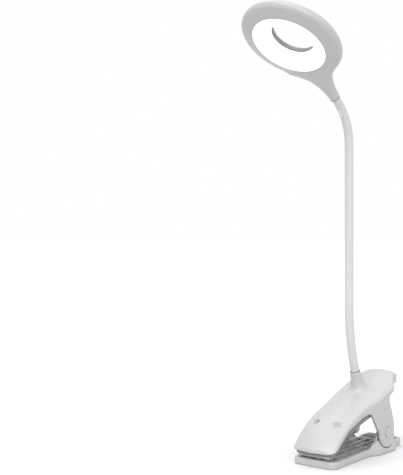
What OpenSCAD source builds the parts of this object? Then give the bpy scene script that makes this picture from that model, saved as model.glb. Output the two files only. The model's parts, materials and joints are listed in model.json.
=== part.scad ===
// Clip-on reading lamp: spring clip with battery, jointed gooseneck, ring light head.
// Frame: +Z up from the underside of the base, -Y towards the nose of the clip, X across it.

/* [Clip base] */
// half width of the base at the nose
base_half = 21.5; // [20:0.5:22]
// thickness of the base plate
base_t = 6; // [5.5:0.25:6]
// width of the rim round the grip insert
rim_w = 3.2; // [2.8:0.2:3.6]
// width of the ribs in the grid
rib_w = 1.6; // [1.2:0.2:2]

/* [Hinge] */
// position of the hinge pin along Y
pivot_y = 24.5; // [24:0.25:25]
// height of the hinge pin
pivot_z = 19; // [18.75:0.25:19.5]
// radius of the hinge pin
pin_r = 2; // [1.6:0.2:2.4]
// radial running clearance of the pin in the ears
pin_gap = 0.05; // [0.02:0.01:0.1]
// radius of the round end of each cheek
lobe_r = 13.6; // [13.2:0.1:13.6]
// radius of the pin caps
cap_r = 4.7; // [4:0.1:5.2]

/* [Clip shell] */
// wall thickness of the top shell
shell_t = 2.2; // [1.8:0.1:2.4]
// crown radius across the top shell
crown_r = 47; // [44:1:60]

/* [Gooseneck] */
// outer radius of the silicone sleeve
sleeve_r = 3.9; // [3.7:0.1:4.1]
// gap between a sleeve dome and the dish that carries it
dish_gap = 0.3; // [0.25:0.05:0.4]
// radius of the ball on each core
ball_r = 1.8; // [1.6:0.1:1.8]
// length of the straight run of the neck
neck_run = 145; // [120:1:180]
// bend radius below the head
bend_r = 50; // [48:1:60]
// bend angle below the head
bend_deg = 49; // [40:1:55]
// turn of the head about the upright neck
turn_deg = 8; // [0:1:15]

/* [Head] */
// outer radius of the ring
ring_r = 45.5; // [44:0.5:47]
// radius of the hole through the ring
hole_r = 19.5; // [19:0.5:20.5]
// outer radius of the diffuser
diff_r = 32.7; // [32:0.1:33.2]
// height of the ring from front to back
ring_h = 17.5; // [17:0.5:18.5]
// slope of the ring above level
ring_tilt = 32.5; // [30:0.5:35]

/* [Hidden] */

white = "#eceded";
rubber = "#d9dadb";
steel = "#b9bcc0";
dark = "#4a4d52";
board = "#2f6b4a";
gold = "#c9a45a";
glow = "#fffdf6";
cell_blue = "#5b7fa6";
big = 200;
clear = 0.3;

// outline helpers: polygon with every corner rounded to its own radius
function unit(v) = v / norm(v);
function corner(a, b, c, r, n) =
  let (u = unit(a - b), w = unit(c - b))
  let (half = acos(u * w) / 2)
  let (o = b + unit(u + w) * r / sin(half))
  let (t1 = b + u * r / tan(half), t2 = b + w * r / tan(half))
  let (a1 = atan2(t1[1] - o[1], t1[0] - o[0]), a2 = atan2(t2[1] - o[1], t2[0] - o[0]))
  let (d0 = a2 - a1, d = d0 > 180 ? d0 - 360 : (d0 < -180 ? d0 + 360 : d0))
  [for (i = [0:n]) o + r * [cos(a1 + d * i / n), sin(a1 + d * i / n)]];
function rounded(p, n = 6) =
  let (m = len(p))
  [for (i = [0:m - 1])
    let (b = [p[i][0], p[i][1]], q = p[(i + m - 1) % m], s = p[(i + 1) % m])
    for (k = (p[i][2] > 0 ? corner([q[0], q[1]], b, [s[0], s[1]], p[i][2], n) : [b])) k];
function mirrored(p) = concat(p, [for (i = [len(p) - 1:-1:0]) [-p[i][0], p[i][1], p[i][2]]]);

// ---- clip base ----
base_plan = mirrored([[base_half, -62.2, 6.2], [base_half - 2.6, 1, 30], [24.2, 11, 8], [24.2, 39.5, 6],
  [17.6, 45, 5], [17.6, 62.5, 4]]);
ear_in = 17.8;
ear_out = 20.2;
cheek_in = 21.3;
cheek_out = 24.3;
// slots of the grid: stretches along Y at the front and behind the insert, and middles across
rows = [[-58.8, -45.5], [-43.9, -20], [-18.4, 6]];
rear_rows = [[9.6, 24.6], [26.2, 41.4]];
cols = [-12.6, -4.2, 4.2, 12.6];
cell_w = 8.4 - rib_w;
insert_t = 1.6;
insert_top = base_t + 0.2;
// material left under the slots, and the dark tread lying on it
floor_t = 1.4;
tread_t = 0.88;
lobe_gap = 0.9;

// outline in Y and Z, extruded across from x0 to x1
module side(p, x0, x1) {
  translate([x0, 0, 0]) rotate([90, 0, 90]) linear_extrude(x1 - x0) polygon(rounded(p));
}
module grid(rows, z0, z1, g) {
  for (r = rows) for (c = cols)
    translate([c - cell_w / 2 + g, r[0] + g, z0]) cube([cell_w - 2 * g, r[1] - r[0] - 2 * g, z1 - z0]);
}
module insert_plan(g) {
  h = base_half - rim_w - g;
  f = h - 2.1;
  polygon(rounded([[-h, -59.8 + g, 4.5], [h, -59.8 + g, 4.5], [f, 7.4 - g, 2], [-f, 7.4 - g, 2]]));
}
// puts an axis along X through the hinge, starting at x
module across(x) {
  translate([x, pivot_y, pivot_z]) rotate([0, 90, 0]) children();
}
ear_side = [[-24, 1, 0], [-24, 5, 2], [0, 6.4, 14], [10.2, 12.6, 8], [13.8, 19, 3], [17, 24.6, 4],
  [pivot_y, 27.8, 6], [31, 25.5, 5], [35, 13, 6], [40, 6, 2], [40, 1, 0]];

module base_frame() color(white) {
  difference() {
    union() {
      linear_extrude(base_t) polygon(rounded(base_plan));
      intersection() {
        union() for (s = [0, 1]) mirror([s, 0, 0]) side(ear_side, ear_in, cheek_out + 1);
        linear_extrude(big) polygon(rounded(base_plan));
      }
      translate([-17.6, 43, base_t - 1]) cube([35.2, 16, 2.2]);
    }
    translate([0, 0, insert_top - insert_t]) linear_extrude(big) insert_plan(0);
    for (r = [rows, rear_rows]) grid(r, floor_t, base_t + 1, 0);
    for (s = [0, 1]) mirror([s, 0, 0]) {
      across(ear_out) cylinder(r = lobe_r + lobe_gap, h = 9);
      translate([ear_out, pivot_y - lobe_r - lobe_gap, pivot_z]) cube([9, 2 * (lobe_r + lobe_gap), 40]);
      across(ear_in - 1) cylinder(r = pin_r + pin_gap, h = 9);
    }
  }
}
module grip_insert() color(rubber) {
  difference() {
    translate([0, 0, insert_top - insert_t]) linear_extrude(insert_t) insert_plan(clear / 2);
    grid(rows, 0, base_t + 2, 0);
  }
}
module grip_tread() color(dark) {
  for (r = [rows, rear_rows]) grid(r, floor_t + 0.02, floor_t + 0.02 + tread_t, 0.1);
}
module lever_ribs() color(rubber) {
  for (i = [0:4]) translate([-15, 45.2 + i * 3, base_t + 1.2]) cube([30, 1.4, 0.8]);
}
module hinge_pin() color(steel) {
  across(0.6 - cheek_out) cylinder(r = pin_r, h = cheek_out - 8);
  across(15) cylinder(r = pin_r, h = cheek_out - 15.6);
}
module pin_cap() {
  difference() {
    across(cheek_out - 1) cylinder(r = cap_r, h = 1.4);
    across(cheek_out - 2) cylinder(r = pin_r, h = 1.4);
  }
}
module pin_cap_right() color(white) {
  pin_cap();
}
module pin_cap_left() color(white) {
  mirror([1, 0, 0]) pin_cap();
}
spring_r = 4.6;
wire_r = 0.8;
spring_x = -16.8;
coil_pitch = 1.55;
arm_x = spring_x + 8.4;
module coil_ring() {
  rotate_extrude() translate([spring_r, 0]) circle(wire_r);
}
module spring_coil() color(steel) {
  for (i = [0:4]) across(spring_x + i * coil_pitch) coil_ring();
  translate([spring_x, pivot_y - spring_r, pivot_z]) rotate([191, 0, 0]) cylinder(r = wire_r, h = 12.6);
}
module spring_arm() color(steel) {
  across(arm_x) coil_ring();
  translate([arm_x, pivot_y + spring_r - 0.15, pivot_z]) rotate([6, 0, 0]) cylinder(r = wire_r - 0.1, h = 23);
}

// ---- top shell: crowned surface made of two arcs joined by a straight run ----
rise = 19.5;
arc_r = 92.8;
arc_at = [6, -43.6];
tail_r = 14;
tail_at = [53.17, 56.7];
module revolved(at, r, g) {
  translate([0, at[0], at[1]]) rotate([0, 90, 0]) rotate_extrude() intersection() {
    translate([r - crown_r, 0]) circle(crown_r + g, $fn = 180);
    translate([0, -30]) square([big, 60]);
  }
}
// frame at the centre of an arc, tipped back to the slope of the straight run
module on_rise(at) {
  translate([0, at[0], at[1]]) rotate([rise, 0, 0]) children();
}
module crown(g) {
  intersection() {
    revolved(arc_at, arc_r, g);
    on_rise(arc_at) translate([-40, -big, -40]) cube([80, big, big]);
  }
  intersection() {
    on_rise(arc_at) translate([0, 0, arc_r - crown_r]) rotate([-90, 0, 0])
      cylinder(r = crown_r + g - 0.03, h = big, $fn = 180);
    on_rise(arc_at) translate([-40, -0.2, 0]) cube([80, big, big]);
    on_rise(tail_at) translate([-40, 0.2 - big, -big]) cube([80, big, 2 * big]);
  }
  intersection() {
    revolved(tail_at, tail_r, g);
    on_rise(tail_at) translate([-40, 0, -10]) cube([80, big, big]);
  }
}
// plan of the shell, drawn in by g at the sides
module shell_plan(g, c = 0) {
  polygon(rounded(mirrored([[0, -66.4 + g, 0], [21 - g, -62.6 + g, 5.2 - g], [21.4 - g, -6, 60],
    [cheek_out - g - c, 12, 12], [cheek_out - g - c, 37, 12],
    [16.2 - g, 48, 12], [16.2 - g, 66 - g, 14 - g]])));
}
// lower edge of the shell: nose, long arch, round end of the cheek, notch, lever
shell_side = [[-80, 12.2, 0], [-63, 12.4, 4], [-56.5, 15.2, 5], [-37.5, 29.2, 18], [-15, 36.9, 20],
  [-1.2, 39.2, 6], [pivot_y - lobe_r - 0.3, pivot_z, 12], [pivot_y - lobe_r + 1.5, 5.4, 12.2],
  [pivot_y + lobe_r - 0.9, 5.4, 12.2], [pivot_y + lobe_r, pivot_z + 3, 14], [31, 40, 20],
  [25.8, 50.6, 5], [44, 57.8, 14], [67, 60.5, 0], [80, 62, 0], [80, 120, 0], [-80, 120, 0]];
boss_at = [12.9, 57.4];
boss_h = 17.4;
boss_top = 4.75;
boss_profile = [[0, -6], [12.8, -6], [12.8, -2.9], [9.4, 0], [7.6, 2.4], [6.3, 5.4], [5.5, 9], [5, 13],
  [boss_top, boss_h], [0, boss_h]];
module boss_place() {
  translate([0, boss_at[0], boss_at[1]]) rotate([rise - 1.5, 0, 0]) children();
}
module top_shell() color(white) {
  difference() {
    union() {
      intersection() {
        crown(0);
        linear_extrude(big) shell_plan(0);
        side(shell_side, -30, 30);
      }
      boss_place() rotate_extrude() polygon(boss_profile);
    }
    intersection() {
      crown(-shell_t);
      linear_extrude(big) shell_plan(shell_t, 0.8);
    }
    boss_place() translate([0, 0, -12]) cylinder(r = sleeve_r + 0.05, h = 40);
    for (s = [0, 1]) mirror([s, 0, 0]) {
      across(cheek_in - 1) cylinder(r = pin_r, h = 5);
      across(cheek_out - 1) cylinder(r = cap_r, h = 5);
    }
  }
}
// the cover in side view: its lower face from nose to lever, then its upper face back
cover_side = [[-63, 9.6, 1], [-56.5, 10.6, 4], [-37.5, 23, 16], [-15, 30.8, 20], [-1, 34.6, 6],
  [20, 40.5, 6], [29, 46, 2], [33, 47, 1.5], [33, 52.5, 2], [46, 56.5, 8], [62, 60, 0.5],
  [62, 62, 0.5], [45, 58.8, 8], [31, 54.8, 2], [31, 49, 1], [27, 48, 2], [19, 42.8, 6],
  [-1, 38.2, 8], [-16, 35, 20], [-39, 27, 16], [-57, 13.4, 4], [-63, 12, 1]];
// screws into the cover; the nose pair sits lower than the pair at the lever
screw_spots = [[-12, -30, 26.4], [12, -30, 26.4], [-13, 24, 42], [13, 24, 42]];
module bottom_cover() color(rubber) {
  difference() {
    intersection() {
      side(cover_side, -30, 30);
      linear_extrude(big) shell_plan(shell_t + 0.15, 0.8);
      crown(-shell_t - 0.15);
    }
    translate([-4.75, 28, 49.6]) cube([9.5, 8, 3.6]);
    for (p = screw_spots) translate(p) {
      cylinder(r = 1.1, h = 20);
      translate([0, 0, -10]) cylinder(r = 2.15, h = 11.2);
    }
  }
}
module cover_screws() color(steel) {
  for (p = screw_spots) translate(p) {
    cylinder(r = 1, h = 8);
    cylinder(r = 2, h = 1.1);
  }
}
module nose_pad() color(rubber) {
  difference() {
    side([[-61.2, 8.1, 0.6], [-54, 8.1, 1.5], [-50, 12.2, 0], [-50, 16, 0], [-61.2, 10.6, 0]], -15.5, 15.5);
    intersection() {
      side(cover_side, -30, 30);
      linear_extrude(big) shell_plan(shell_t, 0.8);
    }
    side([[-70, 10, 0], [-57, 11.2, 0], [-40, 23.4, 0], [-40, 40, 0], [-70, 40, 0]], -30, 30);
    for (i = [0:1]) translate([-20, -60 + i * 2.4, 8]) cube([40, 1, 0.5]);
  }
}
module battery_cell() color(cell_blue) {
  translate([0, -9, 41]) rotate([rise, 0, 0]) translate([-16, -14.5, -2.3]) cube([32, 29, 4.6]);
}
board_tilt = 32;
board_at = [0, -43, 28.3];
board_t = 1;
module main_board() color(board) {
  translate(board_at) rotate([board_tilt, 0, 0]) {
    translate([-14.4, -8.8, -board_t / 2]) cube([28.8, 17.6, board_t]);
    translate([-4, -4, -2]) cube([7, 7, 1.5]);
    translate([6, 1, -1.7]) cube([5, 4, 1.2]);
    translate([-12, -6, -1.9]) cube([3, 9, 1.4]);
  }
}
module touch_pads() color(gold) {
  translate(board_at) rotate([board_tilt, 0, 0])
    for (x = [-8.5, 9]) translate([x, 0, board_t / 2]) cylinder(r = 4.4, h = 0.4);
}
module usb_socket() color(steel) {
  difference() {
    translate([-4.5, 26.6, 49.85]) cube([9, 6.2, 3.1]);
    translate([-3.9, 28.4, 50.4]) cube([7.8, 8, 2]);
  }
  translate([-3.2, 27, 51.1]) cube([6.4, 4.8, 0.6]);
  translate([-6, 19.5, 48.6]) cube([12, 9.4, 1.2]);
}
module on_crown(x, y, tilt) {
  intersection() {
    difference() {
      revolved(arc_at, arc_r, 0.14);
      revolved(arc_at, arc_r, 0);
    }
    translate([x, y, 30]) rotate([tilt, 0, 0]) linear_extrude(20) children();
  }
}
module mode_icon() color(dark) {
  on_crown(-8.5, -39.6, 31) {
    difference() {
      circle(2.7);
      circle(2.2);
    }
    intersection() {
      circle(1.6);
      translate([0, -2]) square([2, 4]);
    }
  }
}
module brightness_icon() color(dark) {
  on_crown(11.5, -39.1, 31) {
    difference() {
      circle(1.4);
      circle(0.9);
    }
    for (a = [0:45:315]) rotate(a) translate([2.2, -0.25]) square([1.9, 0.5]);
  }
}

// ---- gooseneck path ----
lean = rise - 1.5;
low_r = 178;
start = [0, boss_at[0] - boss_h * sin(lean), boss_at[1] + boss_h * cos(lean)];
lead = 5;
tail = 3;
l1 = low_r * lean * PI / 180;
l3 = bend_r * bend_deg * PI / 180;
s1 = lead + l1;
s2 = s1 + neck_run;
s3 = s2 + l3;
neck_len = s3 + tail;
low_at = start + lead * [0, -sin(lean), cos(lean)];
y_run = low_at[1] - low_r * (1 - cos(lean));
z_run = low_at[2] + low_r * sin(lean);
function bent(f, z) = [-sin(turn_deg) * f, y_run - cos(turn_deg) * f, z];
function path(s) =
  s < lead ? start + s * [0, -sin(lean), cos(lean)] :
  s < s1 ? let (a = lean * (1 - (s - lead) / l1))
    [0, low_at[1] - low_r * (cos(a) - cos(lean)), low_at[2] + low_r * (sin(lean) - sin(a))] :
  s < s2 ? [0, y_run, z_run + s - s1] :
  let (u = min((s - s2) / bend_r * 180 / PI, bend_deg), o = max(s - s3, 0))
    bent(bend_r * (1 - cos(u)) + o * sin(u), z_run + neck_run + bend_r * sin(u) + o * cos(u));
joints = 11;
pitch = (s3 - lead) / (joints - 1);
function at_joint(k) = path(lead + k * pitch);
module along(a, b) {
  d = b - a;
  translate(a) rotate([0, acos(d[2] / norm(d)), atan2(d[1], d[0])]) children();
}
dish_r = sleeve_r + dish_gap;
core_r = 2.6;
socket_r = ball_r + dish_gap;
stem_r = 1.1;
module sleeve_body(h) {
  difference() {
    union() {
      cylinder(r = sleeve_r, h = h);
      sphere(sleeve_r);
    }
    translate([0, 0, h]) sphere(dish_r);
    translate([0, 0, -10]) cylinder(r = core_r + 0.1, h = h + 20);
  }
}
module core_top(h) {
  translate([0, 0, h - 5.5]) cylinder(r = stem_r, h = 5.5);
  translate([0, 0, h]) sphere(ball_r);
}
module core_foot(h) {
  difference() {
    translate([0, 0, -1.2]) cylinder(r = core_r, h = h + 1.2);
    sphere(socket_r);
    translate([0, 0, -2.4]) cylinder(r1 = 2.3, r2 = 1.4, h = 2.4);
  }
}
module link_sleeve(k) color(rubber) {
  along(at_joint(k), at_joint(k + 1)) sleeve_body(norm(at_joint(k + 1) - at_joint(k)));
}
module link_core(k) color(steel) {
  h = norm(at_joint(k + 1) - at_joint(k));
  along(at_joint(k), at_joint(k + 1)) {
    core_foot(h - 5);
    core_top(h);
  }
}
module sleeve_01() link_sleeve(0);
module sleeve_02() link_sleeve(1);
module sleeve_03() link_sleeve(2);
module sleeve_04() link_sleeve(3);
module sleeve_05() link_sleeve(4);
module sleeve_06() link_sleeve(5);
module sleeve_07() link_sleeve(6);
module sleeve_08() link_sleeve(7);
module sleeve_09() link_sleeve(8);
module sleeve_10() link_sleeve(9);
module core_01() link_core(0);
module core_02() link_core(1);
module core_03() link_core(2);
module core_04() link_core(3);
module core_05() link_core(4);
module core_06() link_core(5);
module core_07() link_core(6);
module core_08() link_core(7);
module core_09() link_core(8);
module core_10() link_core(9);
collar_in = 21;
module neck_collar() color(dark) {
  along(path(-collar_in), at_joint(0)) translate([0, 0, -3.4]) difference() {
    cylinder(r = sleeve_r + 2.4, h = 3.2);
    translate([0, 0, -1]) cylinder(r = core_r, h = 8);
  }
}
module collar_sleeve() color(rubber) {
  h = norm(at_joint(0) - path(-collar_in));
  along(path(-collar_in), at_joint(0)) difference() {
    cylinder(r = sleeve_r, h = h);
    translate([0, 0, h]) sphere(dish_r);
    translate([0, 0, -1]) cylinder(r = core_r + 0.1, h = h + 20);
  }
}
module collar_core() color(steel) {
  h = norm(at_joint(0) - path(-collar_in));
  along(path(-collar_in), at_joint(0)) {
    translate([0, 0, -3.3]) cylinder(r = core_r, h = h - 1.7);
    core_top(h);
  }
}

// ---- ring head ----
seam = path(neck_len);
arm = 74.3;
drop = 1.6;
function head_dir(f, z) = [-sin(turn_deg) * f, -cos(turn_deg) * f, z];
far_dir = head_dir(cos(ring_tilt), sin(ring_tilt));
down_dir = head_dir(sin(ring_tilt), -cos(ring_tilt));
head_at = seam + arm * far_dir + drop * down_dir;
module head_place() {
  translate(head_at) rotate([0, 0, -turn_deg]) rotate([-ring_tilt, 0, 0]) children();
}
end_dir = head_dir(sin(bend_deg), cos(bend_deg));
// section of the ring, radius and height, outside and inside
profile_out = rounded([[hole_r, 0, 0.8], [diff_r + 1.1, 0, 0.6], [ring_r, 7.2, 4.5],
  [ring_r - 3.5, ring_h - 2.6, 7], [33, ring_h, 14], [hole_r + 4.5, ring_h - 1.2, 6],
  [hole_r, 8, 3.5]], 7);
profile_in = rounded([[hole_r + 1.4, -1, 0], [diff_r - 0.8, -1, 0], [diff_r - 0.8, 1.8, 0],
  [ring_r - 2.2, 7.6, 3.4], [ring_r - 5.4, ring_h - 4.2, 5.5], [33, ring_h - 1.8, 12],
  [hole_r + 5.4, ring_h - 3, 4.6], [hole_r + 1.4, 8.2, 2.4]], 7);
// height at which the housing and the rear cover part
split = 13.4;
neck_l = 38;
wire_bore_r = 2.2;
neck_profile = [[0, -6], [10.4, -6], [9.6, 1], [8.6, 7], [7.4, 13], [6.3, 19], [5.4, 25],
  [4.85, 30], [4.65, neck_l], [0, neck_l]];
module neck_axis() {
  along(seam + neck_l * end_dir, seam) children();
}
ring_core = [[0, -20], [32.8, -20], [32.8, 0.9], [44, 7.3], [43, 13.3], [43, 40], [0, 40]];
module neck_body() {
  difference() {
    intersection() {
      neck_axis() rotate_extrude() polygon(neck_profile);
      head_place() translate([0, 33.5, 0.6]) rotate([-5, 0, 0]) translate([-40, -20, 0]) cube([80, 80, 12.4]);
    }
    head_place() rotate_extrude() polygon(ring_core);
    neck_axis() translate([0, 0, neck_l - 8]) cylinder(r = sleeve_r + 0.05, h = 20);
    neck_axis() translate([0, 0, -2]) cylinder(r = wire_bore_r, h = 60);
  }
}
module head_housing() color(white) {
  neck_body();
  difference() {
    head_place() intersection() {
      rotate_extrude() polygon(profile_out);
      translate([-60, -60, -1]) cube([120, 120, split + 1]);
    }
    head_place() rotate_extrude() polygon(profile_in);
    head_place() translate([0, 0, -2]) cylinder(r = hole_r + 8, h = 40);
    neck_axis() translate([0, 0, -2]) cylinder(r = wire_bore_r, h = 60);
  }
}
module head_cover() color(white) {
  head_place() difference() {
    union() {
      intersection() {
        rotate_extrude() polygon(profile_out);
        translate([0, 0, split + 0.05]) cylinder(r = ring_r + 1, h = 10);
      }
      intersection() {
        rotate_extrude() polygon(profile_out);
        translate([0, 0, -1]) cylinder(r = hole_r + 5, h = split + 2);
      }
    }
    rotate_extrude() polygon(profile_in);
  }
}
module diffuser() color(glow) {
  head_place() difference() {
    translate([0, 0, 0.1]) cylinder(r = diff_r - 0.9, h = 1.6);
    translate([0, 0, -1]) cylinder(r = hole_r + 1.5, h = 6);
  }
}
module reflector() color(white) {
  head_place() difference() {
    translate([0, 0, 4.6]) cylinder(r = diff_r + 1.6, h = 0.8);
    cylinder(r = hole_r + 2, h = 20);
    for (a = [0:15:345]) rotate(a) translate([27.3, 0, 0]) cylinder(r = 2.3, h = 20);
  }
}
module led_board() color(board) {
  head_place() difference() {
    translate([0, 0, 5.5]) cylinder(r = diff_r + 2.4, h = 1.2);
    cylinder(r = hole_r + 2, h = 20);
  }
}
module led_chips() color(gold) {
  head_place() for (a = [0:15:345]) rotate(a) translate([25.9, -1.4, 4.7]) cube([2.8, 2.8, 0.8]);
}
module head_screws() color(steel) {
  head_place() for (a = [30, 150, 270]) rotate(a) translate([24.4, 0, 6.8]) {
    cylinder(r = 1.75, h = 1.2);
    cylinder(r = 1, h = 5);
  }
}
module head_sleeve() color(rubber) {
  a = at_joint(joints - 1);
  along(a, a + end_dir) difference() {
    union() {
      cylinder(r = sleeve_r, h = 9.6);
      sphere(sleeve_r);
    }
    translate([0, 0, -10]) cylinder(r = core_r + 0.1, h = 30);
  }
}
module head_core() color(steel) {
  a = at_joint(joints - 1);
  along(a, a + end_dir) core_foot(9.6);
}

base_frame();
grip_insert();
grip_tread();
lever_ribs();
hinge_pin();
pin_cap_left();
pin_cap_right();
spring_coil();
spring_arm();
top_shell();
bottom_cover();
nose_pad();
battery_cell();
main_board();
touch_pads();
usb_socket();
mode_icon();
brightness_icon();
cover_screws();
neck_collar();
collar_sleeve();
collar_core();
sleeve_01();
sleeve_02();
sleeve_03();
sleeve_04();
sleeve_05();
sleeve_06();
sleeve_07();
sleeve_08();
sleeve_09();
sleeve_10();
core_01();
core_02();
core_03();
core_04();
core_05();
core_06();
core_07();
core_08();
core_09();
core_10();
head_sleeve();
head_core();
head_housing();
head_cover();
diffuser();
reflector();
led_board();
led_chips();
head_screws();
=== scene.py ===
import json
import math

import bpy
import numpy as np
from mathutils import Matrix, Vector


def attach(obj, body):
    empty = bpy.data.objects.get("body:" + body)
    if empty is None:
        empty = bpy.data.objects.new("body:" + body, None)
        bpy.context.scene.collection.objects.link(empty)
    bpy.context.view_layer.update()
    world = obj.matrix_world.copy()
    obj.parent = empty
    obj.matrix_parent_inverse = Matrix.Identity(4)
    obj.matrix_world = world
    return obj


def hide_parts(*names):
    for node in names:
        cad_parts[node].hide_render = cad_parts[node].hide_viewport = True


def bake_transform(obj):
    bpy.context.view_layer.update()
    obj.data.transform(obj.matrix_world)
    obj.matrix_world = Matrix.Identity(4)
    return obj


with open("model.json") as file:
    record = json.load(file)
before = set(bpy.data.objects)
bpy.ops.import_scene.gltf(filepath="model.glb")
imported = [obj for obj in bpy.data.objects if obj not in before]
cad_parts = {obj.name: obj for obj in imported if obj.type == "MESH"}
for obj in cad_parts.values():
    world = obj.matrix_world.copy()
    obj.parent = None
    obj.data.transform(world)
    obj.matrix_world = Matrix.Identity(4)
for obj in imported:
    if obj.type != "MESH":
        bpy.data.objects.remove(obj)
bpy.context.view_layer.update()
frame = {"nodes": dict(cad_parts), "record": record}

# Shapes are worked out in millimetres, and turned into metres when their mesh is made.
MM = 0.001
behaviour = frame["record"]["behaviour"]
joints = {j["name"]: j for j in behaviour["joints"]}
slot_of = {part["node"]: part["material_slot"] for part in frame["record"]["subparts"]}
body_of = {node: body for body, nodes in behaviour["bodies"].items() for node in nodes}


# ---------------------------------------------------------------- materials
def material(name, color, rough=0.4, vary=0.03, grain=900.0, bump=0.06, coat=0.0, sheen=0.0,
             metal=0.0, emit=None, mottle=60.0, spec=0.5):
    """A material whose colour drifts slowly, and whose gloss and bump follow a fine grain."""
    look = bpy.data.materials.new(name)
    look.use_nodes = True
    tree = look.node_tree
    shader = tree.nodes["Principled BSDF"]
    coords = tree.nodes.new("ShaderNodeTexCoord")

    def noise(scale, detail):
        node = tree.nodes.new("ShaderNodeTexNoise")
        node.inputs["Scale"].default_value = scale
        node.inputs["Detail"].default_value = detail
        tree.links.new(coords.outputs["Object"], node.inputs["Vector"])
        return node.outputs["Fac"]

    drift = noise(mottle, 4.0)
    fine = noise(grain, 3.0)

    ramp = tree.nodes.new("ShaderNodeValToRGB")
    for stop, at, gain in zip(ramp.color_ramp.elements, (0.3, 0.7), (1 - vary, 1 + vary)):
        stop.position = at
        stop.color = (*(min(1.0, c * gain) for c in color), 1)
    tree.links.new(drift, ramp.inputs["Fac"])
    tree.links.new(ramp.outputs["Color"], shader.inputs["Base Color"])

    gloss = tree.nodes.new("ShaderNodeMapRange")
    gloss.inputs["To Min"].default_value = max(0.02, rough - 0.06)
    gloss.inputs["To Max"].default_value = min(1.0, rough + 0.06)
    tree.links.new(fine, gloss.inputs["Value"])
    tree.links.new(gloss.outputs["Result"], shader.inputs["Roughness"])

    relief = tree.nodes.new("ShaderNodeBump")
    relief.inputs["Strength"].default_value = bump
    relief.inputs["Distance"].default_value = 0.0002
    tree.links.new(fine, relief.inputs["Height"])
    tree.links.new(relief.outputs["Normal"], shader.inputs["Normal"])

    shader.inputs["Metallic"].default_value = metal
    shader.inputs["Coat Weight"].default_value = coat
    shader.inputs["Coat Roughness"].default_value = 0.25
    shader.inputs["Sheen Weight"].default_value = sheen
    shader.inputs["Specular IOR Level"].default_value = spec
    if emit:
        shader.inputs["Emission Color"].default_value = (*emit[:3], 1)
        shader.inputs["Emission Strength"].default_value = emit[3]
    return look


# Shells, sleeve and rubber; the tread, cover and bore colours are painted shade.
white = material("white_abs", (0.39, 0.393, 0.399), rough=0.36, vary=0.012, bump=0.05, coat=0.12)
silicone = material("silicone_sleeve", (0.47, 0.473, 0.48), rough=0.42, vary=0.01, bump=0.05, sheen=0.05)
pad = material("pad_silicone", (0.32, 0.325, 0.33), rough=0.65, bump=0.12, grain=1400)
insert = material("insert_rubber", (0.36, 0.363, 0.37), rough=0.6, vary=0.02, bump=0.1, grain=1400)
# The near-black tread at the bottom of the base's slots is painted shade: it darkens the slots where shadow
# falls in them.
slot_shade = material("slot_painted_shade", (0.045, 0.046, 0.05), rough=0.7, vary=0.08, bump=0.15)
# The bottom cover's dark grey is painted shade, for the cover that lies in shadow under the shell's rim.
cover_painted_shade = material("cover_abs", (0.16, 0.162, 0.167), rough=0.5, vary=0.02, bump=0.1, grain=1500)
# The bore's dark grey is painted shade inside the hole behind the diffuser.
bore_painted_shade = material("bore_shade", (0.20, 0.201, 0.205), rough=0.45)
shadow = material("seam_shadow", (0.10, 0.10, 0.105), rough=0.6, vary=0.05)
nylon = material("collar_nylon", (0.05, 0.052, 0.058), rough=0.5, vary=0.1)
icon = material("icon_print", (0.16, 0.165, 0.18), rough=0.55, vary=0.05)
# Metals.
steel = material("steel", (0.62, 0.63, 0.65), rough=0.28, metal=1.0, grain=2500, bump=0.05)
spring = material("spring_steel", (0.50, 0.51, 0.53), rough=0.3, vary=0.05, metal=1.0, grain=2500)
gold = material("gold_contact", (0.80, 0.60, 0.28), rough=0.3, vary=0.05, metal=1.0)
# Electrics and light.
board = material("board_green", (0.03, 0.16, 0.08), rough=0.35, vary=0.15, mottle=300)
cell = material("cell_wrap", (0.13, 0.22, 0.34), rough=0.45, vary=0.06)
film = material("reflector_film", (0.9, 0.9, 0.9), rough=0.5, vary=0.02)
led = material("led_phosphor", (0.9, 0.78, 0.3), rough=0.35, vary=0.08, emit=(1.0, 0.95, 0.8, 2.0))
glow = material("diffuser_pmma", (0.97, 0.965, 0.95), vary=0.004, bump=0.02,
                emit=(1.0, 0.995, 0.98, 1.15))

slot_look = {"white_abs": white, "silicone": silicone, "pad_silicone": pad, "steel": steel,
             "spring_steel": spring, "cover_abs": cover_painted_shade, "icon_print": icon, "board_green": board,
             "gold_contact": gold, "cell_wrap": cell, "diffuser_pmma": glow, "reflector_film": film,
             "led_phosphor": led, "collar_nylon": nylon}
node_look = {"grip_tread": slot_shade, "grip_insert": insert}
for node, slot in slot_of.items():
    ob = frame["nodes"][node]
    look = node_look.get(node, slot_look[slot])
    if not ob.material_slots:
        ob.data.materials.append(look)
    for holder in ob.material_slots:
        holder.material = look


# ----------------------------------------------------------------- outlines
def unit(v):
    v = np.asarray(v, float)
    return v / np.linalg.norm(v)


def rounded(corners, steps=7):
    """Closed outline through (x, y, radius) corners, each rounded to its own radius."""
    out = []
    for i, (x, y, r) in enumerate(corners):
        here = np.array([x, y], float)
        if r <= 0:
            out.append(here)
            continue
        back = unit(np.array(corners[i - 1][:2], float) - here)
        ahead = unit(np.array(corners[(i + 1) % len(corners)][:2], float) - here)
        half = math.acos(max(-1, min(1, back @ ahead))) / 2
        centre = here + unit(back + ahead) * r / math.sin(half)
        first = here + back * r / math.tan(half) - centre
        last = here + ahead * r / math.tan(half) - centre
        start = math.atan2(first[1], first[0])
        sweep = (math.atan2(last[1], last[0]) - start + math.pi) % (2 * math.pi) - math.pi
        for k in range(steps + 1):
            q = start + sweep * k / steps
            out.append(centre + r * np.array([math.cos(q), math.sin(q)]))
    return np.array(out)


def mirrored(corners):
    return corners + [(-x, y, r) for x, y, r in reversed(corners)]


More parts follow.
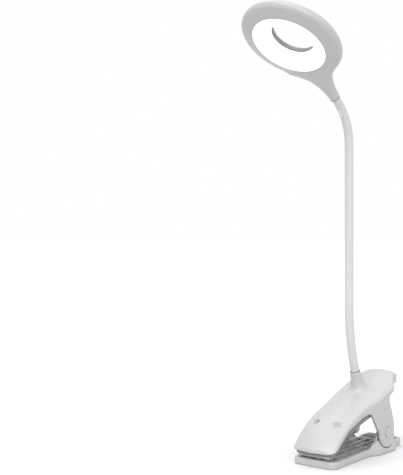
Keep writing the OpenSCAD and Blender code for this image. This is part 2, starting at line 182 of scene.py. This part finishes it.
# ------------------------------------------------------------------- fields
# A field is the distance in mm to a solid, negative inside it.
def sd_poly(x, y, outline):
    """Distance to a closed outline."""
    nearest = np.full(np.broadcast(x, y).shape, 1e18)
    sign = np.ones(nearest.shape)
    for i, (ax, ay) in enumerate(outline):
        bx, by = outline[i - 1]
        ex, ey = bx - ax, by - ay
        wx, wy = x - ax, y - ay
        t = np.clip((wx * ex + wy * ey) / max(ex * ex + ey * ey, 1e-12), 0, 1)
        nearest = np.minimum(nearest, (wx - ex * t) ** 2 + (wy - ey * t) ** 2)
        above, below, left = y >= ay, y < by, ex * wy > ey * wx
        crosses = (above & below & left) | (~above & ~below & ~left)
        sign = np.where(crosses, -sign, sign)
    return sign * np.sqrt(nearest)


def smax(a, b, k):
    """Intersection of two solids, with the edge between them rounded over k."""
    h = np.clip(0.5 + 0.5 * (a - b) / k, 0, 1)
    return b + (a - b) * h + k * h * (1 - h)


def smin(a, b, k):
    """Union of two solids, with the corner between them filled over k."""
    return -smax(-a, -b, k)


# ------------------------------------------------------------------- meshes
def place_at(origin, x, y, z):
    """Place of a piece with its own axes, and its origin in mm."""
    place = Matrix(np.column_stack([x, y, z]).tolist()).to_4x4()
    place.translation = Vector(origin * MM)
    return place


def placed(points, place):
    points = np.asarray(points) * MM
    if place is None:
        return points
    m = np.array(place)
    return points @ m[:3, :3].T + m[:3, 3]


def mesh(name, points, faces, look, smooth=None):
    data = bpy.data.meshes.new(name)
    points = [tuple(map(float, p)) for p in points]
    faces = [tuple(map(int, f)) for f in faces]
    data.from_pydata(points, [], faces)
    data.materials.append(look)
    data.validate()
    data.update()
    data.polygons.foreach_set("use_smooth", smooth or [True] * len(data.polygons))
    ob = bpy.data.objects.new(name, data)
    bpy.context.scene.collection.objects.link(ob)
    return ob


def lathe(name, outline, look, place=None, sides=128):
    """Turns a closed (radius, height) outline about Z."""
    n = len(outline)
    points, faces = [], []
    for i in range(sides):
        a = 2 * math.pi * i / sides
        points += [(r * math.cos(a), r * math.sin(a), z) for r, z in outline]
        this, after = i * n, (i + 1) % sides * n
        for k in range(n):
            up = (k + 1) % n
            faces.append((this + k, after + k, after + up, this + up))
    return mesh(name, placed(points, place), faces, look)


def pulled(points, field, pitch):
    """Points moved down the field's slope until they lie on its surface."""
    reach = 0.05
    for _ in range(4):
        slope = [(field(*(points + d).T) - field(*(points - d).T)) / (2 * reach) for d in np.eye(3) * reach]
        slope = np.stack(slope, 1)
        step = (field(*points.T) / np.maximum((slope ** 2).sum(1), 0.2))[:, None] * slope
        size = np.linalg.norm(step, axis=1)[:, None]
        points = points - step * np.minimum(1, 0.6 * pitch / np.maximum(size, 1e-9))
    return points


def skin(name, field, low, high, pitch, look, place=None):
    """Closed mesh of the surface of a field, inside the box from low to high.

    A grid cell that the surface crosses holds one point, at the mean of the crossings on its edges.
    A grid edge that the surface crosses makes one quad, between the four cells round it.
    """
    axes = [np.arange(a, b + pitch, pitch) for a, b in zip(low, high)]
    grid = np.meshgrid(*axes, indexing="ij", sparse=True)
    value = np.broadcast_to(field(*grid), [len(a) for a in axes]).astype(np.float64)
    cells = [len(a) - 1 for a in axes]
    total = np.zeros(cells + [3])
    count = np.zeros(cells)

    def in_grid(cell):
        return np.all((cell >= 0) & (cell < cells), axis=1)

    rings = []
    for d in range(3):
        near, far = [slice(None)] * 3, [slice(None)] * 3
        near[d], far[d] = slice(0, -1), slice(1, None)
        a, b = value[tuple(near)], value[tuple(far)]
        crossed = (a < 0) != (b < 0)
        a, b = a[crossed], b[crossed]
        at = np.argwhere(crossed)
        point = at.astype(float)
        point[:, d] += a / (a - b)
        u, v = [k for k in range(3) if k != d]
        ring = []
        for du, dv in ((0, 0), (1, 0), (1, 1), (0, 1)):
            cell = at.copy()
            cell[:, u] -= du
            cell[:, v] -= dv
            ring.append(cell)
            ok = in_grid(cell)
            np.add.at(total, tuple(cell[ok].T), point[ok])
            np.add.at(count, tuple(cell[ok].T), 1)
        rings.append((ring, (a < 0) ^ (d == 1)))

    live = count > 0
    number = -np.ones(cells, int)
    number[live] = np.arange(live.sum())
    points = total[live] / count[live][:, None] * pitch + np.array(low)
    faces = []
    for ring, forward in rings:
        whole = np.all([in_grid(cell) for cell in ring], axis=0)
        quads = np.stack([number[tuple(cell[whole].T)] for cell in ring], 1)
        backward = ~forward[whole]
        quads[backward] = quads[backward][:, ::-1]
        faces.append(quads)
    return mesh(name, placed(pulled(points, field, pitch), place), np.concatenate(faces), look)


# ---------------------------------------------------------------- gooseneck
# The neck leaves the boss at boot_dir and enters the head at head_in, turned off the lamp's middle plane.
lean, turn, bend = math.radians(18), math.radians(8), math.radians(49)
sleeve_r = 3.9
lip = 0.8
boot_dir = np.array([0, -math.sin(lean), math.cos(lean)])
head_in = np.array([-math.sin(turn) * math.sin(bend), -math.cos(turn) * math.sin(bend), math.cos(bend)])

bends = sorted((j for j in joints.values() if j["name"].startswith("neck")), key=lambda j: j["name"][-2:])
pivots = [np.array(j["pos_m"]) * 1000 for j in bends]
link = np.linalg.norm(pivots[5] - pivots[4])
knots = [pivots[0] - boot_dir * link] + pivots + [pivots[-1] + head_in * link]
last = len(pivots) - 1
# Knots on the upright run between the two bends of the neck.
upright = range(4, 10)


def tangent(i):
    if i <= 1:
        return boot_dir
    if i >= len(knots) - 2:
        return head_in
    if i in upright:
        return np.array([0, 0, 1.0])
    return unit(knots[i + 1] - knots[i - 1])


def neck_at(s):
    """Point on the neck's middle line; s counts links, 0 at the first joint."""
    i = int(np.clip(math.floor(s) + 1, 0, len(knots) - 2))
    t = s + 1 - i
    a, b = knots[i], knots[i + 1]
    size = np.linalg.norm(b - a)
    ta, tb = tangent(i) * size, tangent(i + 1) * size
    from_a = (2 * t ** 3 - 3 * t ** 2 + 1) * a + (t ** 3 - 2 * t ** 2 + t) * ta
    from_b = (-2 * t ** 3 + 3 * t ** 2) * b + (t ** 3 - t ** 2) * tb
    return from_a + from_b


def across(way):
    """Two directions square to a way, the first as near X as can be."""
    u = unit(np.array([1.0, 0, 0]) - way * way[0])
    return u, np.cross(way, u)


def tube(name, s0, s1, look, steps=16, sides=40):
    """Length of sleeve from s0 to s1. Its ends turn in, so that neighbours meet rim to rim."""
    tuck = 0.6 * (s1 - s0) / steps
    edge = 0.001
    stops = [s0 + (s1 - s0) * i / steps for i in range(1, steps)]
    rows = [(s, sleeve_r) for s in [s0, s0 + edge, *stops, s1 - edge, s1]]
    rows = [(s0 + tuck, sleeve_r - lip)] + rows + [(s1 - tuck, sleeve_r - lip)]
    points, faces = [], []
    for s, radius in rows:
        u, v = across(unit(neck_at(s + 0.01) - neck_at(s - 0.01)))
        for k in range(sides):
            a = 2 * math.pi * k / sides
            points.append((neck_at(s) + radius * (math.cos(a) * u + math.sin(a) * v)) * MM)
    bands = len(rows) - 1
    for i in range(bands):
        for k in range(sides):
            a, b = i * sides + k, i * sides + (k + 1) % sides
            faces.append((a, b, b + sides, a + sides))
    faces.append(tuple(range(sides))[::-1])
    faces.append(tuple(bands * sides + k for k in range(sides)))
    smooth = [False] * sides + [True] * (sides * (bands - 2)) + [False] * (sides + 2)
    return mesh(name, points, faces, look, smooth)


# One length of sleeve to each joint; the first reaches into the boss, and the last into the head.
for k, j in enumerate(bends):
    begin = -0.78 if k == 0 else k - 0.5
    end = last + 0.38 if k == last else k + 0.5
    ob = tube("neck_sleeve_%02d" % (k + 1), begin, end, silicone)
    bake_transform(ob)
    hidden = ["head_sleeve"] if k == last else ["sleeve_%02d" % (k + 1)]
    if k == 0:
        hidden.append("collar_sleeve")
    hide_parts(*hidden)


def seam_ring(name, at, way, body):
    """Thin dark ring round the sleeve, where it goes into a shell."""
    seam_r, bead = 4.18, 0.34
    turns = np.linspace(0, 2 * math.pi, 13)[:-1]
    section = [(seam_r + bead * math.cos(a), bead * math.sin(a)) for a in turns]
    way = unit(way)
    ob = lathe(name, section, shadow, place_at(at, *across(way), way), 64)
    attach(ob, body)


# --------------------------------------------------------------------- head
# Its own axes: X across, Y towards the neck, Z away from the lit face.
tilt = math.radians(32.5)
arm, drop, tail = 74.3, 1.6, 3.0
ring_r, hole_r, diff_r, ring_h, wide_h = 46.6, 19.4, 32.7, 15.0, 4.4
# The lit wall of the hole narrows from mouth_r at the face to hole_r at glow_h.
mouth_r, glow_h = 23.6, 10.2
# Small move of the finished head from its place in the frame.
head_shift = np.array([1.4, 1.2, -1.5])


def head_dir(f, z):
    return np.array([-math.sin(turn) * f, -math.cos(turn) * f, z])


far_way = head_dir(math.cos(tilt), math.sin(tilt))
up_way = head_dir(-math.sin(tilt), math.cos(tilt))
side_way = np.cross(-far_way, up_way)
seam = pivots[-1] + head_in * tail
head_at = seam + arm * far_way - drop * up_way + head_shift
head_place = place_at(head_at, side_way, -far_way, up_way)


def in_head(v):
    return np.array([side_way @ v, -far_way @ v, up_way @ v])


seam_at = in_head(seam - head_at)
seam_way = in_head(head_in)
ring_outline = rounded([(mouth_r + 1, 0, 0), (diff_r + 0.9, 0, 0.5), (ring_r, wide_h, 4.5),
                        (ring_r - 3.2, ring_h - 2.8, 8), (33, ring_h, 16), (23.5, ring_h, 6),
                        (hole_r, ring_h - 0.3, 0.6), (hole_r, glow_h, 0.2), (hole_r + 1, glow_h, 0)], 9)


def neck_field(x, y, z):
    """Teardrop from the seam to the ring: an ellipse that widens towards the ring."""
    t = np.clip(seam_at[1] - y, 0, 37)
    w = sleeve_r + 0.75 + 0.01024 * t ** 2 + 0.000157 * t ** 3
    h = sleeve_r + 0.75 + 0.067 * t
    px = x - (seam_at[0] + 0.07 * t - 0.0042 * t ** 2)
    pz = z - (seam_at[2] - seam_way[2] / seam_way[1] * (seam_at[1] - y) * 1.1)
    k0 = np.sqrt((px / w) ** 2 + (pz / h) ** 2)
    k1 = np.sqrt((px / w ** 2) ** 2 + (pz / h ** 2) ** 2)
    ellipse = np.where(k0 > 1e-6, k0 * (k0 - 1) / np.maximum(k1, 1e-9), -np.minimum(w, h))
    return smax(ellipse, 34 - y, 3)


def head_field(x, y, z):
    r = np.sqrt(x * x + y * y)
    ring = sd_poly(r, z, ring_outline)
    body = smin(ring, smax(neck_field(x, y, z), mouth_r + 2 - r, 1.0), 6.0)
    # The lit face is flat, and falls away a little along the neck.
    body = smax(body, -(z + np.maximum(y - 34, 0) * 0.085), 0.5)
    # Room for the diffuser: its flat seat, and the wall of the hole.
    seat = smax(smax(r - (diff_r + 0.05), (hole_r - 1.0) - r, 0.3), np.abs(z) - 1.15, 0.3)
    cone = hole_r + (mouth_r - hole_r) * np.clip(1 - z / glow_h, 0, 1)
    well = smax(r - (cone + 0.95), z - glow_h, 0.2)
    body = smax(body, -np.minimum(seat, well), 0.3)
    # The neck ends square at the seam.
    past_seam = sum(-way * (v - at) for v, at, way in zip((x, y, z), seam_at, seam_way))
    return smax(body, past_seam, 0.9)


ob = skin("head_shell", head_field, (-48.5, -48.5, -5.5), (48.5, 76.5, 17.0), 0.75, white, head_place)
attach(ob, "head")
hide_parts("head_housing", "head_cover")

lens_outline = rounded([(hole_r + 0.02, glow_h - 0.05, 0), (mouth_r, 0.05, 0.5), (diff_r - 0.1, 0.05, 0.35),
                        (diff_r - 0.1, 1.1, 0.1), (mouth_r + 0.8, 1.1, 0.1),
                        (hole_r + 0.8, glow_h - 0.05, 0)], 4)
ob = lathe("diffuser_lens", lens_outline, glow, head_place)
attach(ob, "head")
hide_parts("diffuser")

bezel_outline = rounded([(diff_r, -0.06, 0.1), (diff_r + 1, -0.06, 0.2), (diff_r + 1, 0.9, 0),
                         (diff_r, 0.9, 0)], 3)
ob = lathe("head_bezel", bezel_outline, white, head_place)
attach(ob, "head")

seam_ring("head_seam", seam, head_in, "head")

# Grey wall inside the hole behind the diffuser; its darkness is painted shade.
bore_outline = rounded([(hole_r - 0.12, glow_h, 0), (hole_r + 0.2, glow_h, 0),
                        (hole_r + 0.2, ring_h - 0.1, 0), (hole_r - 0.12, ring_h - 0.1, 0.1)])
ob = lathe("ring_bore", bore_outline, bore_painted_shade, head_place)
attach(ob, "head")

# --------------------------------------------------------------- clip shell
pin_y, pin_z = (v * 1000 for v in joints["jaw_hinge"]["pos_m"][1:])
lobe_r, cap_r, shell_t = 13.6, 4.7, 2.3
rise = math.radians(19.5)
# The crown is two arcs in side view, joined by a straight run, with a round section across.
arc_at, arc_r, tail_at, tail_r, crown_r = (6.0, -43.6), 92.8, (53.17, 56.7), 14.0, 47.0
shell_plan = rounded(mirrored([(0, -66.4, 0), (21, -62.6, 5.2), (21.4, -6, 60), (24.3, 12, 12),
                               (24.3, 37, 12), (16.2, 48, 12), (16.2, 66, 14)]))
shell_side = rounded([(-80, 12.2, 0), (-63, 12.4, 4), (-56.5, 15.2, 5), (-37.5, 29.2, 18), (-15, 36.9, 20),
                      (-1.2, 39.2, 6), (pin_y - lobe_r - 0.3, pin_z, 12), (pin_y - lobe_r + 1.5, 5.4, 12.2),
                      (pin_y + lobe_r - 0.9, 5.4, 12.2), (pin_y + lobe_r, pin_z + 3, 14), (31, 40, 20),
                      (25.8, 50.6, 5), (44, 57.8, 14), (67, 60.5, 0), (80, 62, 0), (80, 120, 0),
                      (-80, 120, 0)])


def crown_field(x, y, z, grow):
    ya, za = y - arc_at[0], z - arc_at[1]
    yb, zb = y - tail_at[0], z - tail_at[1]
    before_run = (ya * math.cos(rise) + za * math.sin(rise)) < 0
    after_run = (yb * math.cos(rise) + zb * math.sin(rise)) > 0
    over_run = za * math.cos(rise) - ya * math.sin(rise)
    height = np.where(before_run, np.sqrt(ya ** 2 + za ** 2), over_run)
    height = np.where(after_run, np.sqrt(yb ** 2 + zb ** 2) + (arc_r - tail_r), height)
    return np.sqrt(x ** 2 + (height - (arc_r - crown_r)) ** 2) - (crown_r + grow)


# The boss flares like a trumpet: radius and steepness at each height up its axis.
boss_at = np.array([0, 12.9, 57.4])
boss_h = 17.4
flare = {-6: (12.6, 0.7), -1.6: (11.4, 0.7), 0: (9.4, 0.75), 2.4: (7.6, 0.85), 5.4: (6.3, 0.93),
         9: (5.5, 0.98), 13: (5.0, 1), boss_h: (4.75, 1)}


def boss_field(x, y, z):
    qy, qz = y - boss_at[1], z - boss_at[2]
    up = qy * boot_dir[1] + qz * boot_dir[2]
    r = np.sqrt(x ** 2 + (qy * boot_dir[2] - qz * boot_dir[1]) ** 2)
    radius, steep = (np.interp(up, list(flare), column) for column in zip(*flare.values()))
    return smax(smax((r - radius) * steep, up - boss_h, 0.7), -6 - up, 0.5)


def shell_field(x, y, z):
    plan = sd_poly(x, y, shell_plan)
    outer = smax(crown_field(x, y, z, 0), plan, 1.3)
    outer = smax(outer, sd_poly(y, z, shell_side), 0.5)
    outer = smin(outer, boss_field(x, y, z), 4.0)
    inner = smax(crown_field(x, y, z, -shell_t), plan + shell_t + 0.25, 1.5)
    body = smax(outer, -inner, 0.5)
    # A shallow seat round each pin cap.
    from_pin = np.sqrt((y - pin_y) ** 2 + (z - pin_z) ** 2)
    groove = smax(from_pin - (cap_r + 0.35), 23.75 - np.abs(x), 0.2)
    return smax(body, -groove, 0.3)


ob = skin("clip_shell", shell_field, (-26, -69, 3), (26, 68.5, 78), 0.8, white)
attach(ob, "jaw")
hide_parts("top_shell")
seam_ring("boss_seam", boss_at + (boss_h - 0.1) * boot_dir, boot_dir, "jaw")

# ---------------------------------------------------------------- clip base
base_t, floor_t, insert_floor = 6.0, 1.4, 4.6
ear_in, ear_out, ear_gap, pin_hole_r = 17.8, 20.2, 0.9, 2.05
base_plan = rounded(mirrored([(21.5, -62.2, 6.2), (18.9, 1, 30), (24.2, 11, 8), (24.2, 39.5, 6),
                              (17.6, 45, 5), (17.6, 62.5, 4)]))
ear_side = rounded([(-24, 1, 0), (-24, 5, 2), (0, 6.4, 14), (10.2, 12.6, 8), (13.8, 19, 3), (17, 24.6, 4),
                    (pin_y, 27.8, 6), (31, 25.5, 5), (35, 13, 6), (40, 6, 2), (40, 1, 0)])
insert_plan = rounded([(-18.3, -59.8, 4.5), (18.3, -59.8, 4.5), (16.2, 7.4, 2), (-16.2, 7.4, 2)])
slot_rows = [(-58.8, -45.5), (-43.9, -20), (-18.4, 6), (9.6, 24.6), (26.2, 41.4)]
slot_middles = [-12.6, -4.2, 4.2, 12.6]
slot_w = 6.8


def grid_field(x, y, z):
    """Rows of slots, cut down to the floor of the base."""
    slots = np.inf
    for start, stop in slot_rows:
        for middle in slot_middles:
            along = np.abs(y - (start + stop) / 2) - (stop - start) / 2
            slots = np.minimum(slots, smax(np.abs(x - middle) - slot_w / 2, along, 0.8))
    return smax(slots, floor_t - z, 0.3)


def base_field(x, y, z):
    plan = sd_poly(x, y, base_plan)
    plate = smax(plan, np.abs(z - base_t / 2) - base_t / 2, 1.2)
    lever = smax(smax(np.abs(x) - 17.0, np.abs(y - 53) - 9.2, 1.5), np.abs(z - 4.6) - 2.6, 0.9)
    plate = smin(plate, lever, 0.8)
    leaning = plan + np.maximum(z - 3, 0) * 0.16
    ear = smax(smax(sd_poly(y, z, ear_side), leaning, 1.6), ear_in - np.abs(x), 0.6)
    # The cheeks of the shell turn in a round cut outside the ears.
    from_pin = np.sqrt((y - pin_y) ** 2 + (z - pin_z) ** 2)
    cut_r = lobe_r + ear_gap
    round_cut = np.minimum(from_pin - cut_r, np.maximum(np.abs(y - pin_y) - cut_r, pin_z - z))
    cut = smax(round_cut, ear_out - np.abs(x), 0.4)
    body = smin(plate, smax(ear, -cut, 0.5), 1.6)
    body = smax(body, -cut, 0.5)
    body = smax(body, -smax(sd_poly(x, y, insert_plan), insert_floor - z, 0.4), 0.5)
    body = smax(body, -grid_field(x, y, z), 0.4)
    return smax(body, -(from_pin - pin_hole_r), 0.3)


ob = skin("clip_base", base_field, (-25.5, -64, -1), (25.5, 64, 31), 0.62, white)
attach(ob, "base")
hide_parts("base_frame")

# --------------------------------------------- copies of the smaller pieces
softened = ("grip_insert", "nose_pad", "bottom_cover", "lever_ribs", "pin_cap_left", "pin_cap_right",
            "battery_cell")
inside_head = ("reflector", "led_board", "led_chips", "head_screws")


def soften(ob):
    """Rounds the sharp edges by 0.3 mm."""
    bevel = ob.modifiers.new("soft_edges", "BEVEL")
    bevel.width = 0.3 * MM
    bevel.segments = 2
    bevel.limit_method = "ANGLE"
    bevel.angle_limit = math.radians(40)


for node in softened + inside_head:
    ob = bpy.data.objects.new(node + "_fine", frame["nodes"][node].data.copy())
    bpy.context.scene.collection.objects.link(ob)
    if node in inside_head:
        ob.data.transform(Matrix.Translation(Vector(head_shift * MM)))
    else:
        soften(ob)
    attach(ob, body_of[node])
    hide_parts(node)

# ----------------------------------------------------------- studio, camera
floor_half = 60.0
corners = [(x * floor_half, y * floor_half, 0) for x, y in ((-1, -1), (1, -1), (1, 1), (-1, 1))]
paper = material("paper", (0.66, 0.66, 0.662), rough=0.85, vary=0.004, bump=0.0, spec=0.0)
floor = mesh("floor", corners, [(0, 1, 2, 3)], paper, smooth=[False])

world = bpy.context.scene.world or bpy.data.worlds.new("studio")
bpy.context.scene.world = world
world.use_nodes = True
world.node_tree.nodes["Background"].inputs["Color"].default_value = (1, 1, 1, 1)
world.node_tree.nodes["Background"].inputs["Strength"].default_value = 1.0


def soft_sun(name, way, angle, strength):
    light = bpy.data.lights.new(name, "SUN")
    light.angle = math.radians(angle)
    light.energy = strength
    ob = bpy.data.objects.new(name, light)
    ob.location = (0, 0, 2)
    ob.rotation_euler = Vector(way).to_track_quat("-Z", "Y").to_euler()
    bpy.context.scene.collection.objects.link(ob)


soft_sun("key", (-0.15, 0.62, -0.85), 35, 1.35)
soft_sun("top", (0.25, -0.15, -1.0), 60, 0.8)
soft_sun("side", (-0.60, 0.51, -0.30), 24, 1.0)

lens = bpy.data.cameras.new("camera")
lens.lens = 70.0
camera = bpy.data.objects.new("camera", lens)
camera.location = (0.432, -0.724, 0.195)
camera.rotation_euler = (math.radians(90), 0, math.radians(40))
bpy.context.scene.collection.objects.link(camera)
bpy.context.scene.camera = camera
bpy.context.scene.view_settings.view_transform = "Standard"
